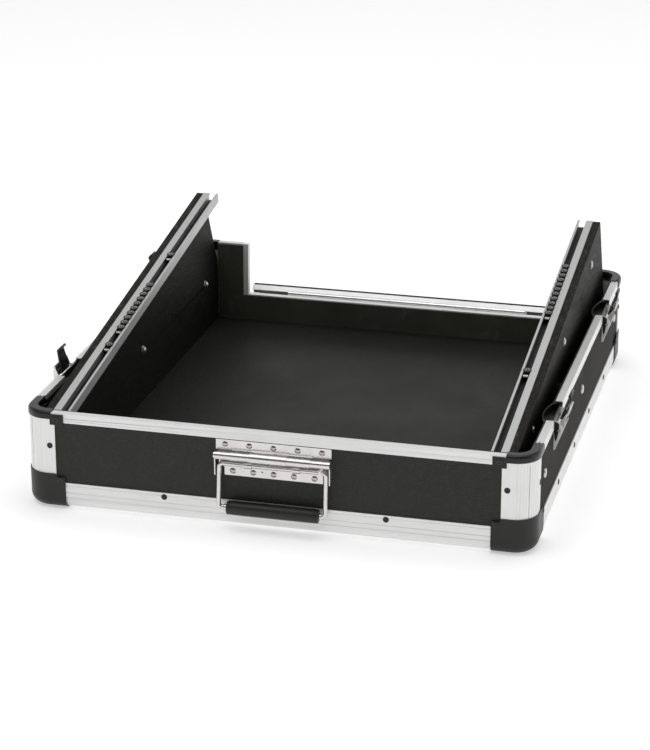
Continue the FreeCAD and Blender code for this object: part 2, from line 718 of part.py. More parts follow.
def rod_through(points, bend_r, radius):
    """A round rod along straight runs joined by tangent arcs."""
    edges = []
    start = points[0]
    for i in range(1, len(points) - 1):
        corner = points[i]
        back = (points[i - 1] - corner).normalize()
        ahead = (points[i + 1] - corner).normalize()
        half = math.acos(max(-1, min(1, back.dot(ahead)))) / 2
        cut = bend_r / math.tan(half)
        first = corner + back * cut
        last = corner + ahead * cut
        bisector = (back + ahead).normalize()
        middle = corner + bisector * (bend_r / math.sin(half) - bend_r)
        edges.append(Part.makeLine(start, first))
        edges.append(Part.Arc(first, middle, last).toShape())
        start = last
    edges.append(Part.makeLine(start, points[-1]))
    path = Part.Wire(edges)
    aim = points[1] - points[0]
    profile = Part.Wire(Part.makeCircle(radius, points[0], aim))
    return path.makePipeShell([profile], True, True)


def handle_bail():
    """Bent rod: pivot bar with an open gap at the right, two legs and the grip's bar."""
    points = [
        bail_point(49.0, 0), bail_point(-BAIL_X, 0), bail_point(-BAIL_X, 1),
        bail_point(BAIL_X, 1), bail_point(BAIL_X, 0), bail_point(52.0, 0),
    ]
    return rod_through(points, 4.5, ROD_R)


def handle_grip():
    start = (-48.0, GRIP_Y, GRIP_Z)
    grip = cyl(start, (1, 0, 0), GRIP_R, GRIP_L)
    rims = [e for e in grip.Edges if abs(e.Length - 2 * math.pi * GRIP_R) < 1e-3]
    grip = grip.makeFillet(1.6, rims)
    return grip.cut(cyl(start, (1, 0, 0), ROD_R, GRIP_L))


# ---- rear flap and its piano hinge ------------------------------------------------
def fold_open(shape):
    """Turn a piece of the closed flap to where it rests, leaning on the surface."""
    turned = shape.copy()
    turned.rotate(Vec(0, HINGE_Y, HINGE_Z), Vec(-1, 0, 0), FLAP_OPEN)
    return turned


FLAP_IN = HALF_D - FLAP_T


def flap_panel():
    edge = SKIN
    y0 = FLAP_IN + SKIN
    y1 = HALF_D - SKIN
    board = box(-FLAP_X + edge, FLAP_X - edge, y0, y1, FLAP_BOTTOM + edge, FLAP_TOP - edge)
    return fold_open(board.cut(hinge_screw_holes(1)))


def flap_trim():
    """Mitred U-profile round the flap; its lower outer leg is cut away beside the hinge."""
    lap = 8.0
    frame = box(-FLAP_X, FLAP_X, FLAP_IN, HALF_D, FLAP_BOTTOM, FLAP_TOP)
    opening = box(
        -FLAP_X + lap, FLAP_X - lap, FLAP_IN - 1, HALF_D + 1, FLAP_BOTTOM + lap, FLAP_TOP - lap
    )
    slot = box(
        -FLAP_X + SKIN, FLAP_X - SKIN, FLAP_IN + SKIN, HALF_D - SKIN,
        FLAP_BOTTOM + SKIN, FLAP_TOP - SKIN,
    )
    frame = frame.cut(opening).cut(slot).cut(hinge_screw_holes(1))
    for side in SIDES:
        frame = frame.cut(
            box(
                side * (HINGE_X + 1), side * (FLAP_X - SKIN), HALF_D - SKIN, HALF_D + 1,
                FLAP_BOTTOM + SKIN, FLAP_BOTTOM + lap + 1,
            )
        )
    return fold_open(frame)


def flap_lining():
    return fold_open(
        box(-FLAP_X + 1, FLAP_X - 1, FLAP_IN - FLAP_LINING_T, FLAP_IN, FLAP_BOTTOM + 0.6, FLAP_TOP - 0.6)
    )


KNUCKLES = 7
KNUCKLE_GAP = 0.3
LEAF_T = 1.0
LEAF_W = 10.0
HINGE_SCREW_X = (-132.0, -88.0, -44.0, 0.0, 44.0, 88.0, 132.0)
HINGE_SCREW_OFF = 7.0                 # from the hinge's axis
HINGE_SCREW = dict(head_r=2.2, head_h=0.8, shank_r=1.2, shank_l=7.0)


def hinge_screws(up):
    z = HINGE_Z + up * HINGE_SCREW_OFF
    face = HALF_D + LEAF_T
    return [screw((x, face, z), (0, 1, 0), **HINGE_SCREW) for x in HINGE_SCREW_X]


def hinge_screw_holes(up):
    z = HINGE_Z + up * HINGE_SCREW_OFF
    face = HALF_D + LEAF_T
    size = HINGE_SCREW
    holes = [cyl((x, face, z), (0, -1, 0), size["shank_r"], size["shank_l"]) for x in HINGE_SCREW_X]
    return Part.makeCompound(holes)


def hinge_leaf(up, bore_r, takes_odd):
    """One leaf of the piano hinge with its share of the knuckles; up is +1 for the flap's."""
    near = KNUCKLE_R + 0.4
    z0 = HINGE_Z + up * near
    z1 = HINGE_Z + up * LEAF_W
    parts = [box(-HINGE_X, HINGE_X, HALF_D, HALF_D + LEAF_T, z0, z1)]
    pitch = 2 * HINGE_X / KNUCKLES
    for i in range(KNUCKLES):
        if (i % 2 == 1) != takes_odd:
            continue
        x0 = -HINGE_X + i * pitch + KNUCKLE_GAP / 2
        x1 = x0 + pitch - KNUCKLE_GAP
        parts.append(cyl((x0, HINGE_Y, HINGE_Z), (1, 0, 0), KNUCKLE_R, x1 - x0))
        parts.append(box(x0, x1, HALF_D, HALF_D + LEAF_T, HINGE_Z, z0 + up))
    leaf = fuse(parts).cut(hinge_screw_holes(up))
    return leaf.cut(cyl((-HINGE_X - 1, HINGE_Y, HINGE_Z), (1, 0, 0), bore_r, 2 * HINGE_X + 2))


def hinge_wall_leaf():
    return hinge_leaf(-1, PIN_R, False)


def hinge_flap_leaf():
    return fold_open(hinge_leaf(1, PIN_R + 0.08, True))


def hinge_pin():
    return cyl((-HINGE_X, HINGE_Y, HINGE_Z), (1, 0, 0), PIN_R, 2 * HINGE_X)


# ---- side latches ---------------------------------------------------------------
# Made on the right wall, with s along the wall from the latch's centre.
PIVOT_R = 1.5
LATCH_FACE = WALL_X + PANEL           # outer face of the side panel
RIVET_S = 12.0                        # rivets of the base plate
RIVET_Z = 80.0
PLATE_FOOT = 76.0
PLATE_TOP = 98.0
BRACKET_S = 21.0                      # middle of a bracket cheek that carries the lever
BRACKET_T = 1.5
TONGUE_T = 1.2
DISH_IN = 258.5                       # how far a block bulges into the case
DISH_FOOT = 90.0
DISH_FLOOR = 99.5
DISH_RIM = 107.0
DISH_T = 1.6
CHEEK_IN = 18.2
CHEEK_T = 1.5


def latch_base(yc):
    """Bright riveted plate with two pointed cheeks that stand out from the wall."""
    half = BRACKET_S + BRACKET_T / 2
    parts = [box(LATCH_FACE, LATCH_FACE + SKIN, yc - half, yc + half, PLATE_FOOT, PLATE_TOP)]
    outline = [
        (LATCH_FACE, 73.5), (LATCH_FACE + 1.8, 74.0), (LATCH_X + 3.0, 93.0),
        (LATCH_X + 3.0, 100.5), (LATCH_X - 1.5, 106.0), (LATCH_FACE, 106.0),
    ]
    for s in SIDES:
        y0 = yc + s * BRACKET_S - BRACKET_T / 2
        parts.append(prism([(x, y0, z) for x, z in outline], (0, BRACKET_T, 0)))
    plate = fuse(parts)
    for s in SIDES:
        plate = plate.cut(cyl((LATCH_FACE - 1, yc + s * RIVET_S, RIVET_Z), (1, 0, 0), 1.5, 4))
    return plate.cut(cyl((LATCH_X, yc - 24, LATCH_Z), (0, 1, 0), PIVOT_R + 0.08, 48))


def latch_rivets(yc):
    return [
        screw((LATCH_FACE + SKIN, yc + s * RIVET_S, RIVET_Z), (1, 0, 0), 2.4, 0.9, 1.5, 6.5)
        for s in SIDES
    ]


def dish(yc, shrink, z0, z1):
    """The plan of a latch block, straight outside and bulging inside, made smaller all round."""
    half = LATCH_HALF - shrink
    outer = LATCH_FACE - shrink
    inner = LINING_IN + shrink
    corners = [Vec(outer, yc - half, z0), Vec(inner, yc - half, z0)]
    corners += [Vec(inner, yc + half, z0), Vec(outer, yc + half, z0)]
    edges = [
        Part.makeLine(corners[0], corners[1]),
        Part.Arc(corners[1], Vec(DISH_IN + shrink, yc, z0), corners[2]).toShape(),
        Part.makeLine(corners[2], corners[3]),
        Part.makeLine(corners[3], corners[0]),
    ]
    return Part.Face(Part.Wire(edges)).extrude(Vec(0, 0, z1 - z0))


def latch_block(yc):
    """Black dish let into the top of the wall, with a tongue outside each bracket cheek."""
    bowl = dish(yc, 0, DISH_FOOT, DISH_RIM).cut(dish(yc, DISH_T, DISH_FLOOR, DISH_RIM + 1))
    parts = [bowl]
    near = BRACKET_S + BRACKET_T / 2
    far = LATCH_HALF - 0.3
    tongue = [
        (LATCH_FACE, 98.0), (LATCH_FACE + 1.8, 84.5), (LATCH_FACE + 2.8, 84.5),
        (LATCH_X, 96.0), (LATCH_X, 103.0), (LATCH_FACE + 2.2, 106.0), (LATCH_FACE, 106.0),
    ]
    for s in SIDES:
        parts.append(
            box(LATCH_FACE, LATCH_FACE + SKIN, yc + s * near, yc + s * far, 97.0, DISH_RIM)
        )
        points = [(x, yc + s * near, z) for x, z in tongue]
        parts.append(prism(points, (0, s * TONGUE_T, 0)))
    block = fuse(parts)
    return block.cut(cyl((LATCH_X, yc - 24, LATCH_Z), (0, 1, 0), PIVOT_R + 0.08, 48))


def on_lever(yc, lean, arm):
    """A point on the lever's centre line, a distance from its pivot."""
    a = math.radians(lean)
    return Vec(LATCH_X + arm * math.sin(a), yc, LATCH_Z + arm * math.cos(a))


def latch_lever(yc, lean):
    """Two cheeks, a finger plate with a curled tip, pivot studs and the hook's pin."""
    parts = []
    for s in SIDES:
        y0 = s * CHEEK_IN if s > 0 else -CHEEK_IN - CHEEK_T
        parts.append(cyl((0, y0, 0), (0, 1, 0), 3.2, CHEEK_T))
        parts.append(cyl((0, y0, HOOK_AT), (0, 1, 0), 2.8, CHEEK_T))
        rim = [
            (-3.1, 0), (3.1, 0), (2.7, HOOK_AT), (1.2, LEVER_L - 2),
            (-0.75, LEVER_L - 2), (-2.7, HOOK_AT),
        ]
        parts.append(prism([(x, y0, z) for x, z in rim], (0, CHEEK_T, 0)))
        reach = BRACKET_S + BRACKET_T / 2 + 0.7 - CHEEK_IN
        parts.append(cyl((0, s * CHEEK_IN, 0), (0, s, 0), PIVOT_R, reach))
    half = CHEEK_IN + CHEEK_T
    parts.append(box(-0.75, 0.75, -half, half, HOOK_AT + 4.0, LEVER_L - 1))
    parts.append(cyl((0.5, -half, LEVER_L - 1.3), (0, 1, 0), 1.3, 2 * half))
    parts.append(cyl((0, -half, HOOK_AT), (0, 1, 0), 1.3, 2 * half))
    lever = fuse(parts)
    lever.rotate(Vec(0, 0, 0), Vec(0, 1, 0), lean)
    lever.translate(on_lever(yc, lean, 0))
    return lever


def latch_hook(yc, lever_lean, lean):
    """Black hook plate with windows, an eye on the lever's pin and a rolled tip."""
    half = 12.3
    x_in = -4.5
    x_out = -2.9
    tip = HOOK_L
    eye = cyl((0, -half, 0), (0, 1, 0), 2.9, 2 * half)
    bridge = box(x_in, 0, -half, half, -1.3, 1.3)
    face = [(-half, -1.3), (half, -1.3), (half, 3.0), (6.5, tip - 4), (6.5, tip), (-11.0, tip), (-half, 3.0)]
    plate = prism([(x_in, s, z) for s, z in face], (x_out - x_in, 0, 0))
    roll = cyl((x_in - 0.6, -11.0, tip), (0, 1, 0), 1.5, 20.0)
    hook = fuse([eye, bridge, plate, roll])
    windows = ((-6.0, -2.5, 14, 20), (0.0, 3.5, 14, 20), (4.5, 8.0, 4.5, 9.5), (-8.5, -5.0, 4.5, 9.5))
    for s0, s1, z0, z1 in windows:
        hook = hook.cut(box(x_in - 1, x_out + 1, s0, s1, z0, z1))
    hook = hook.cut(cyl((0, -half - 1, 0), (0, 1, 0), 1.38, 2 * half + 2))
    hook.rotate(Vec(0, 0, 0), Vec(0, 1, 0), lean)
    hook.translate(on_lever(yc, lever_lean, HOOK_AT))
    return hook


# ---- write every node --------------------------------------------------------------
def save_body():
    save("base_panel", [base_panel()])
    save("front_panel", [front_panel().cut(handle_rivet_holes())])
    save("rear_panel", [rear_panel()])
    save("front_trim", [front_trim()])
    save("rear_trims", rear_trims())
    save("notch_trim", [notch_trim()])
    save("bottom_profile_front", [cross_profile(-1)])
    save("bottom_profile_rear", [cross_profile(1)])
    save("corner_profiles", corner_profiles())
    save("ball_corners", ball_corners())
    save("top_caps", top_caps())
    save("edging_screws", edging_screws())
    save("rear_lining", [rear_lining()])
    for side, word in ((-1, "left"), (1, "right")):
        latch_holes = Part.makeCompound(
            [mirror(s, side) for y in LATCH_Y.values() for s in latch_rivets(y)]
        )
        save(f"{word}_panel", [side_panel(side).cut(latch_holes)])
        save(f"{word}_lining", [lining(side)])
        save(f"{word}_trims", side_trims(side))
        save(f"bottom_profile_{word}", [side_profile(side)])


def save_rack():
    for side, word in ((-1, "left"), (1, "right")):
        save(f"{word}_rack_board", [rack_board(side)])
        save(f"{word}_rack_rail", [rack_rail(side)])
    save("rail_inserts", rail_inserts())
    save("rail_screws", rail_screws())
    save("wall_bolts", wall_bolts())
    save("wall_bolt_nuts", wall_bolt_nuts())
    save("board_spacers", board_spacers())
    for node, (side, backs) in NUTS.items():
        save(node, sliding_nuts(side, backs))


def save_handle_and_flap():
    save("handle_backplate", [handle_backplate()])
    save("handle_rivets", handle_rivets())
    save("handle_spring_rod", [handle_spring_rod()])
    save("handle_spring", [handle_spring()])
    save("handle_bail", [handle_bail()])
    save("handle_grip", [handle_grip()])
    save("flap_panel", [flap_panel()])
    save("flap_trim", [flap_trim()])
    save("flap_lining", [flap_lining()])
    save("hinge_wall_leaf", [hinge_wall_leaf()])
    save("hinge_flap_leaf", [hinge_flap_leaf()])
    save("hinge_pin", [hinge_pin()])
    save("hinge_wall_screws", hinge_screws(-1))
    save("hinge_flap_screws", [fold_open(s) for s in hinge_screws(1)])


def save_latches():
    bases = []
    blocks = []
    rivets = []
    for side, word in ((-1, "left"), (1, "right")):
        for place, yc in LATCH_Y.items():
            bases.append(mirror(latch_base(yc), side))
            blocks.append(mirror(latch_block(yc), side))
            rivets += [mirror(r, side) for r in latch_rivets(yc)]
            name = f"{word}_{place}"
            lever = latch_lever(yc, LEVER_LEAN[name])
            hook = latch_hook(yc, LEVER_LEAN[name], HOOK_LEAN[name])
            save(f"{name}_latch_lever", [mirror(lever, side)])
            save(f"{name}_latch_hook", [mirror(hook, side)])
    save("latch_bases", bases)
    save("latch_blocks", blocks)
    save("latch_rivets", rivets)


os.makedirs("parts", exist_ok=True)
save_body()
save_rack()
save_handle_and_flap()
save_latches()
print(f"flap folded open by {FLAP_OPEN:.2f} degrees, rail length {RAIL_L:.1f}")
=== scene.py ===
"""Looks for the pro-audio rack case: materials, fine detail, lights and camera around the CAD frame."""
import math
import bmesh
import bpy
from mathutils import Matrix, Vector


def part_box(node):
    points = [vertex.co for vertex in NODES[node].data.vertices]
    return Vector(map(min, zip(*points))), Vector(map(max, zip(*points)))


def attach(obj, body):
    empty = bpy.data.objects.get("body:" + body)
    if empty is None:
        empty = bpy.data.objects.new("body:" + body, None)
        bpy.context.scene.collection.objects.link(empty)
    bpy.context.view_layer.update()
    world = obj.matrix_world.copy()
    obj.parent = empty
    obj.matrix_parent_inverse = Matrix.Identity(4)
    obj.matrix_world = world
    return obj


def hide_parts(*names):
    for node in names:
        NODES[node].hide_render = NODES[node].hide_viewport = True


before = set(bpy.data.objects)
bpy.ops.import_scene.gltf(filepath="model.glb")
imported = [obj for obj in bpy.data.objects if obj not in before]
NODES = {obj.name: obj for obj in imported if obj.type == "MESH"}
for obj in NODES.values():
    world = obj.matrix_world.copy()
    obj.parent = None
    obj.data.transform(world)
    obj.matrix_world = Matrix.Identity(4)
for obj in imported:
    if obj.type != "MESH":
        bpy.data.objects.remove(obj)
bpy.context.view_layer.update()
MM = 0.001
NUT_NODES = ("left_rear_nut", "left_nut_row", "left_front_nut", "right_nut_row", "right_front_nut")
LATCHES = ("left_front", "left_rear", "right_front", "right_rear")
LEVERS = [f"{latch}_latch_lever" for latch in LATCHES]
HOOKS = [f"{latch}_latch_hook" for latch in LATCHES]

RAIL_SLOPE = math.radians(8.5)
DOWN_RAIL = Vector((0, -math.cos(RAIL_SLOPE), -math.sin(RAIL_SLOPE)))
OFF_RAIL = Vector((0, -math.sin(RAIL_SLOPE), math.cos(RAIL_SLOPE)))
SAME_POINT = 0.002 * MM                      # points of a CAD mesh this close are one point
BEVEL_ANGLE = math.radians(38)               # CAD edges sharper than this are rounded
SHARP_ANGLE = math.radians(42)               # edges of a piece sharper than this stay crisp
HEXAGON = 6                                  # sides of a turned nut

# a Mix node's sockets, which share their names between colours and vectors
VECTOR_A, VECTOR_B, VECTOR_OUT = 4, 5, 1
COLOUR_A, COLOUR_B, COLOUR_OUT = 6, 7, 2

# ---- node materials ---------------------------------------------------------


class Graph:
    """Adds nodes to a node tree. Inputs are plain values or the sockets of other nodes."""

    def __init__(self, tree):
        self.tree = tree

    def put(self, socket, value):
        """Sets a socket, or links it where the value is another node's socket."""
        if isinstance(value, bpy.types.NodeSocket):
            self.tree.links.new(value, socket)
        else:
            socket.default_value = value

    def node(self, kind, settings=None, inputs=None):
        """Adds a node with these settings and inputs."""
        made = self.tree.nodes.new("ShaderNode" + kind)
        for key, value in (settings or {}).items():
            setattr(made, key, value)
        for key, value in (inputs or {}).items():
            self.put(made.inputs[key], value)
        return made

    def where(self, scale=(1, 1, 1), turn=(0, 0, 0)):
        """Object coordinates, turned and then stretched."""
        place = self.node("TexCoord").outputs["Object"]
        inputs = {"Vector": place, "Rotation": turn}
        turned = self.node("VectorRotate", {"rotation_type": "EULER_XYZ"}, inputs).outputs[0]
        return self.vector("MULTIPLY", turned, scale)

    def noise(self, place, scale=1.0, detail=3.0, rough=0.5):
        """A noise value, about 0.2 to 0.8."""
        inputs = {"Vector": place, "Scale": scale, "Detail": detail, "Roughness": rough}
        return self.node("TexNoise", None, inputs).outputs["Fac"]

    def vector(self, operation, a, b):
        return self.node("VectorMath", {"operation": operation}, {0: a, 1: b}).outputs[0]

    def math(self, operation, a, b=0.0, c=0.0):
        return self.node("Math", {"operation": operation}, {0: a, 1: b, 2: c}).outputs[0]

    def span(self, value, low, high, out_low, out_high, smooth=False):
        """Maps low..high to out_low..out_high and holds the ends."""
        kind = "SMOOTHSTEP" if smooth else "LINEAR"
        inputs = {"Value": value, "From Min": low, "From Max": high, "To Min": out_low, "To Max": out_high}
        return self.node("MapRange", {"interpolation_type": kind}, inputs).outputs[0]

    def blend(self, share, a, b):
        """Colour a where share is 0 and colour b where it is 1."""
        made = self.node("Mix", {"data_type": "RGBA"})
        self.put(made.inputs["Factor"], share)
        self.put(made.inputs[COLOUR_A], (*a, 1) if isinstance(a, tuple) else a)
        self.put(made.inputs[COLOUR_B], (*b, 1) if isinstance(b, tuple) else b)
        return made.outputs[COLOUR_OUT]

    def bump(self, height, depth, strength=1.0, under=None):
        """A bumped normal, on top of another one where under is given."""
        inputs = {"Height": height, "Distance": depth, "Strength": strength}
        if under is not None:
            inputs["Normal"] = under
        return self.node("Bump", None, inputs).outputs[0]


class Shader(Graph):
    """One surface material."""

    def __init__(self, name, metallic=0.0, specular=0.5):
        self.material = bpy.data.materials.new(name)
        self.material.use_nodes = True
        super().__init__(self.material.node_tree)
        self.surface = self.tree.nodes["Principled BSDF"]
        self.surface.inputs["Metallic"].default_value = metallic
        self.surface.inputs["Specular IOR Level"].default_value = specular

    def finish(self, colour, roughness, normal=None):
        self.put(self.surface.inputs["Base Color"], colour)
        self.put(self.surface.inputs["Roughness"], roughness)
        if normal is not None:
            self.put(self.surface.inputs["Normal"], normal)
        return self.material


def hexagons(s, place):
    """Distance from the middle of a hexagon cell, 0 to 0.5, for a honeycomb of pitch 1 in the XY plane."""
    row = math.sqrt(3)
    cell = (1.0, row, 1.0)
    half = (0.5, row / 2, 0.0)
    far = (1000.0, 1000.0 * row, 0.0)        # whole cells that keep every coordinate above zero

    def nearest(offset):
        """Vector and distance to the middle of the nearest cell of one of the two grids."""
        wrapped = s.vector("MODULO", s.vector("ADD", place, offset), cell)
        flat = s.vector("MULTIPLY", s.vector("SUBTRACT", wrapped, half), (1, 1, 0))
        length = s.node("VectorMath", {"operation": "LENGTH"}, {0: flat}).outputs["Value"]
        return flat, length

    a, a_length = nearest(far)
    b, b_length = nearest(tuple(f + h for f, h in zip(far, half)))
    picked = s.node("Mix", {"data_type": "VECTOR"})
    s.put(picked.inputs["Factor"], s.math("LESS_THAN", b_length, a_length))
    s.put(picked.inputs[VECTOR_A], a)
    s.put(picked.inputs[VECTOR_B], b)
    size = s.node("VectorMath", {"operation": "ABSOLUTE"}, {0: picked.outputs[VECTOR_OUT]}).outputs[0]
    x, y = s.node("SeparateXYZ", None, {0: size}).outputs[:2]
    slanted = s.math("MULTIPLY_ADD", y, row / 2, s.math("MULTIPLY", x, 0.5))
    return s.math("MAXIMUM", x, slanted)


def shade(tone, share):
    """A colour made darker or lighter."""
    return tuple(c * share for c in tone)


TURN_FRONT = (math.radians(90), 0, 0)        # brings XZ into XY
TURN_SIDE = (0, math.radians(90), 0)         # brings YZ into XY
TURN_NONE = (0, 0, 0)


def laminate(name, turn, tone=(0.0245, 0.0248, 0.0190), specular=0.32, rough=0.48):
    """Black plastic laminate with a fine honeycomb grain in relief, painted shade in its grooves, pale grit
    and faint smudges.
    """
    s = Shader(name, specular=specular)
    pitch = 2.6 * MM
    cells = hexagons(s, s.where((1 / pitch,) * 3, turn))
    pad = s.span(cells, 0.49, 0.34, 0.0, 1.0, smooth=True)
    place = s.where()
    smudge = s.noise(place, scale=9.0, detail=4.0, rough=0.6)
    speck = s.noise(place, scale=900.0, detail=2.0)
    grit = s.noise(place, scale=380.0, detail=3.0, rough=0.6)
    colour = s.blend(s.span(smudge, 0.3, 0.7, 0.0, 1.0), shade(tone, 0.86), shade(tone, 1.16))
    colour = s.blend(s.span(grit, 0.50, 0.72, 0.0, 0.7), colour, shade(tone, 1.9))
    # painted shade: the honeycomb's grooves are darkened in colour where the relief dips
    colour = s.blend(s.span(pad, 0.0, 1.0, 0.85, 0.0), colour, shade(tone, 0.30))
    roughness = s.span(smudge, 0.3, 0.7, rough - 0.06, rough + 0.08)
    fine = s.bump(speck, depth=0.05 * MM, strength=0.5)
    return s.finish(colour, roughness, s.bump(pad, depth=0.22 * MM, under=fine))


def flat_black(name, tone=(0.019, 0.0205, 0.015)):
    """Plain black board with a soft uneven sheen, rubbed lighter in long faint scuffs."""
    s = Shader(name, specular=0.30)
    place = s.where()
    cloud = s.noise(place, scale=14.0, detail=5.0, rough=0.6)
    scuff = s.noise(s.where((6.0, 70.0, 30.0), (0.3, 0.2, 0.5)), detail=5.0, rough=0.7)
    grain = s.noise(place, scale=700.0, detail=3.0)
    colour = s.blend(s.span(cloud, 0.3, 0.7, 0.0, 1.0), shade(tone, 0.75), shade(tone, 1.3))
    colour = s.blend(s.span(scuff, 0.60, 0.76, 0.0, 0.55), colour, shade(tone, 2.4))
    roughness = s.span(cloud, 0.3, 0.7, 0.54, 0.68)
    return s.finish(colour, roughness, s.bump(grain, depth=0.08 * MM, strength=0.6))


def stained_plywood(name):
    """Black stained plywood: long grain and pores on the faces, torn brownish fibres on the cut edges."""
    stain_dark = (0.0030, 0.0031, 0.0022)
    stain_light = (0.0095, 0.0092, 0.0068)
    pore_dust = (0.034, 0.030, 0.025)
    edge_dark = (0.003, 0.0028, 0.0022)
    edge_light = (0.019, 0.0165, 0.012)
    bare_fibre = (0.110, 0.092, 0.070)
    grain_lean = (0.15, 0, 0)
    s = Shader(name, specular=0.12)
    fibre = s.noise(s.where((60.0, 9.0, 120.0), grain_lean), scale=3.0, detail=6.0, rough=0.65)
    pores = s.noise(s.where((500.0, 45.0, 500.0), grain_lean), scale=1.6, detail=3.0, rough=0.7)
    torn = s.noise(s.where((260.0, 70.0, 260.0)), detail=6.0, rough=0.75)
    facing = s.node("SeparateXYZ", None, {0: s.node("NewGeometry").outputs["Normal"]}).outputs[0]
    edge = s.math("LESS_THAN", s.math("ABSOLUTE", facing), 0.5)
    face = s.blend(s.span(fibre, 0.35, 0.68, 0.0, 1.0), stain_dark, stain_light)
    face = s.blend(s.span(pores, 0.60, 0.72, 0.0, 0.7), face, pore_dust)
    rim = s.blend(s.span(torn, 0.38, 0.62, 0.0, 1.0), edge_dark, edge_light)
    rim = s.blend(s.span(torn, 0.60, 0.68, 0.0, 0.85), rim, bare_fibre)
    height = s.math("ADD", s.math("MULTIPLY", fibre, 0.6), pores)
    height = s.math("ADD", height, s.math("MULTIPLY", s.math("MULTIPLY", torn, edge), 2.2))
    roughness = s.span(fibre, 0.3, 0.7, 0.46, 0.66)
    return s.finish(s.blend(edge, face, rim), roughness, s.bump(height, depth=0.30 * MM, strength=0.8))


def aluminium(name, stretch, rough=0.42, tone=0.83, metallic=0.58):
    """Extruded satin aluminium with fine drawing lines along its length and dull clouds."""
    s = Shader(name, metallic=metallic)
    lines = s.noise(s.where(stretch), detail=4.0, rough=0.7)
    cloud = s.noise(s.where(), scale=22.0, detail=4.0, rough=0.6)
    dark = (tone * 0.98, tone * 0.975, tone * 0.972)
    light = (tone * 1.02, tone * 1.015, tone * 1.01)
    dull = (0.60, 0.60, 0.61)
    colour = s.blend(s.span(lines, 0.25, 0.75, 0.0, 1.0), dark, light)
    colour = s.blend(s.span(cloud, 0.45, 0.8, 0.0, 0.14), colour, dull)
    drawn = s.span(lines, 0.2, 0.8, rough - 0.02, rough + 0.03)
    roughness = s.math("ADD", drawn, s.span(cloud, 0.4, 0.7, 0.0, 0.06))
    return s.finish(colour, roughness, s.bump(lines, depth=0.02 * MM, strength=0.22))


def plated(name, tone, rough, metallic=1.0):
    """Bright plated steel with faint polishing waves, scratches and fingerprints."""
    s = Shader(name, metallic=metallic)
    place = s.where()
    wave = s.noise(place, scale=26.0, detail=2.0)
    prints = s.noise(place, scale=35.0, detail=5.0, rough=0.65)
    scratch = s.noise(s.where((30.0, 900.0, 900.0)), detail=2.0)
    colour = s.blend(s.span(prints, 0.4, 0.75, 0.0, 0.5), tone, shade(tone, 0.84))
    roughness = s.span(prints, 0.35, 0.75, rough - 0.03, rough + 0.10)
    fine = s.bump(scratch, depth=0.01 * MM, strength=0.2)
    return s.finish(colour, roughness, s.bump(wave, depth=0.12 * MM, strength=0.12, under=fine))


def moulded(name, tone=(0.0112, 0.0112, 0.0096), rough=0.42):
    """Black moulded plastic with a fine spark-eroded grain."""
    s = Shader(name, specular=0.38)
    place = s.where()
    spark = s.noise(place, scale=1400.0, detail=2.0, rough=0.6)
    cloud = s.noise(place, scale=30.0, detail=4.0, rough=0.6)
    colour = s.blend(s.span(cloud, 0.35, 0.7, 0.0, 1.0), shade(tone, 0.85), shade(tone, 1.3))
    roughness = s.span(cloud, 0.35, 0.7, rough - 0.04, rough + 0.07)
    return s.finish(colour, roughness, s.bump(spark, depth=0.10 * MM, strength=0.55))


def black_metal(name):
    """Black oxide steel, a little polished where it is handled."""
    tone = (0.016, 0.016, 0.016)
    s = Shader(name, metallic=0.35)
    mottled = s.noise(s.where(), scale=160.0, detail=5.0, rough=0.65)
    colour = s.blend(s.span(mottled, 0.35, 0.7, 0.0, 1.0), tone, shade(tone, 1.9))
    roughness = s.span(mottled, 0.3, 0.7, 0.28, 0.44)
    return s.finish(colour, roughness, s.bump(mottled, depth=0.03 * MM, strength=0.5))


def rubber(name):
    """Satin rubber with dust in its grain and faint painted highlight stripes along the grip."""
    tone = (0.015, 0.015, 0.0135)
    s = Shader(name, specular=0.36)
    place = s.where()
    cloud = s.noise(place, scale=40.0, detail=4.0, rough=0.6)
    lines = s.noise(s.where((8.0, 500.0, 500.0)), detail=3.0, rough=0.6)
    dust = s.noise(place, scale=1100.0, detail=3.0)
    colour = s.blend(s.span(cloud, 0.35, 0.7, 0.0, 1.0), tone, shade(tone, 1.5))
    # painted highlight: lighter stripes along the grip's length
    colour = s.blend(s.span(lines, 0.55, 0.75, 0.0, 0.5), colour, shade(tone, 2.2))
    roughness = s.span(cloud, 0.3, 0.7, 0.36, 0.50)
    return s.finish(colour, roughness, s.bump(dust, depth=0.05 * MM, strength=0.6))


def paint(material, *names):
    """Gives CAD nodes a material."""
    for name in names:
        mesh = NODES[name].data
        mesh.materials.clear()
        mesh.materials.append(material)


# stretch of the drawing lines of an extrusion that lies along each axis
ALONG_X = (4.0, 700.0, 700.0)
ALONG_Y = (700.0, 4.0, 700.0)
ALONG_Z = (700.0, 700.0, 4.0)

ZINC = plated("zinc", tone=(0.74, 0.75, 0.76), rough=0.20)
CHROME = plated("chrome", tone=(0.70, 0.68, 0.67), rough=0.20, metallic=0.92)
SATIN = plated("satin_plate", tone=(0.82, 0.80, 0.79), rough=0.40, metallic=0.60)
RIVET = plated("rivet_metal", tone=(0.46, 0.43, 0.41), rough=0.09)
DULL = plated("dull_zinc", tone=(0.56, 0.56, 0.55), rough=0.30)
THREAD = plated("thread_metal", tone=(0.42, 0.41, 0.40), rough=0.34)
OXIDE = black_metal("black_oxide")
GRIP = rubber("grip_rubber")
SIDE_LAMINATE = laminate("laminate_side", TURN_SIDE, (0.0240, 0.0215, 0.0195), specular=0.10, rough=0.66)
FLOOR_LAMINATE = laminate("laminate_floor", TURN_NONE, (0.0125, 0.0130, 0.0090), specular=0.24)

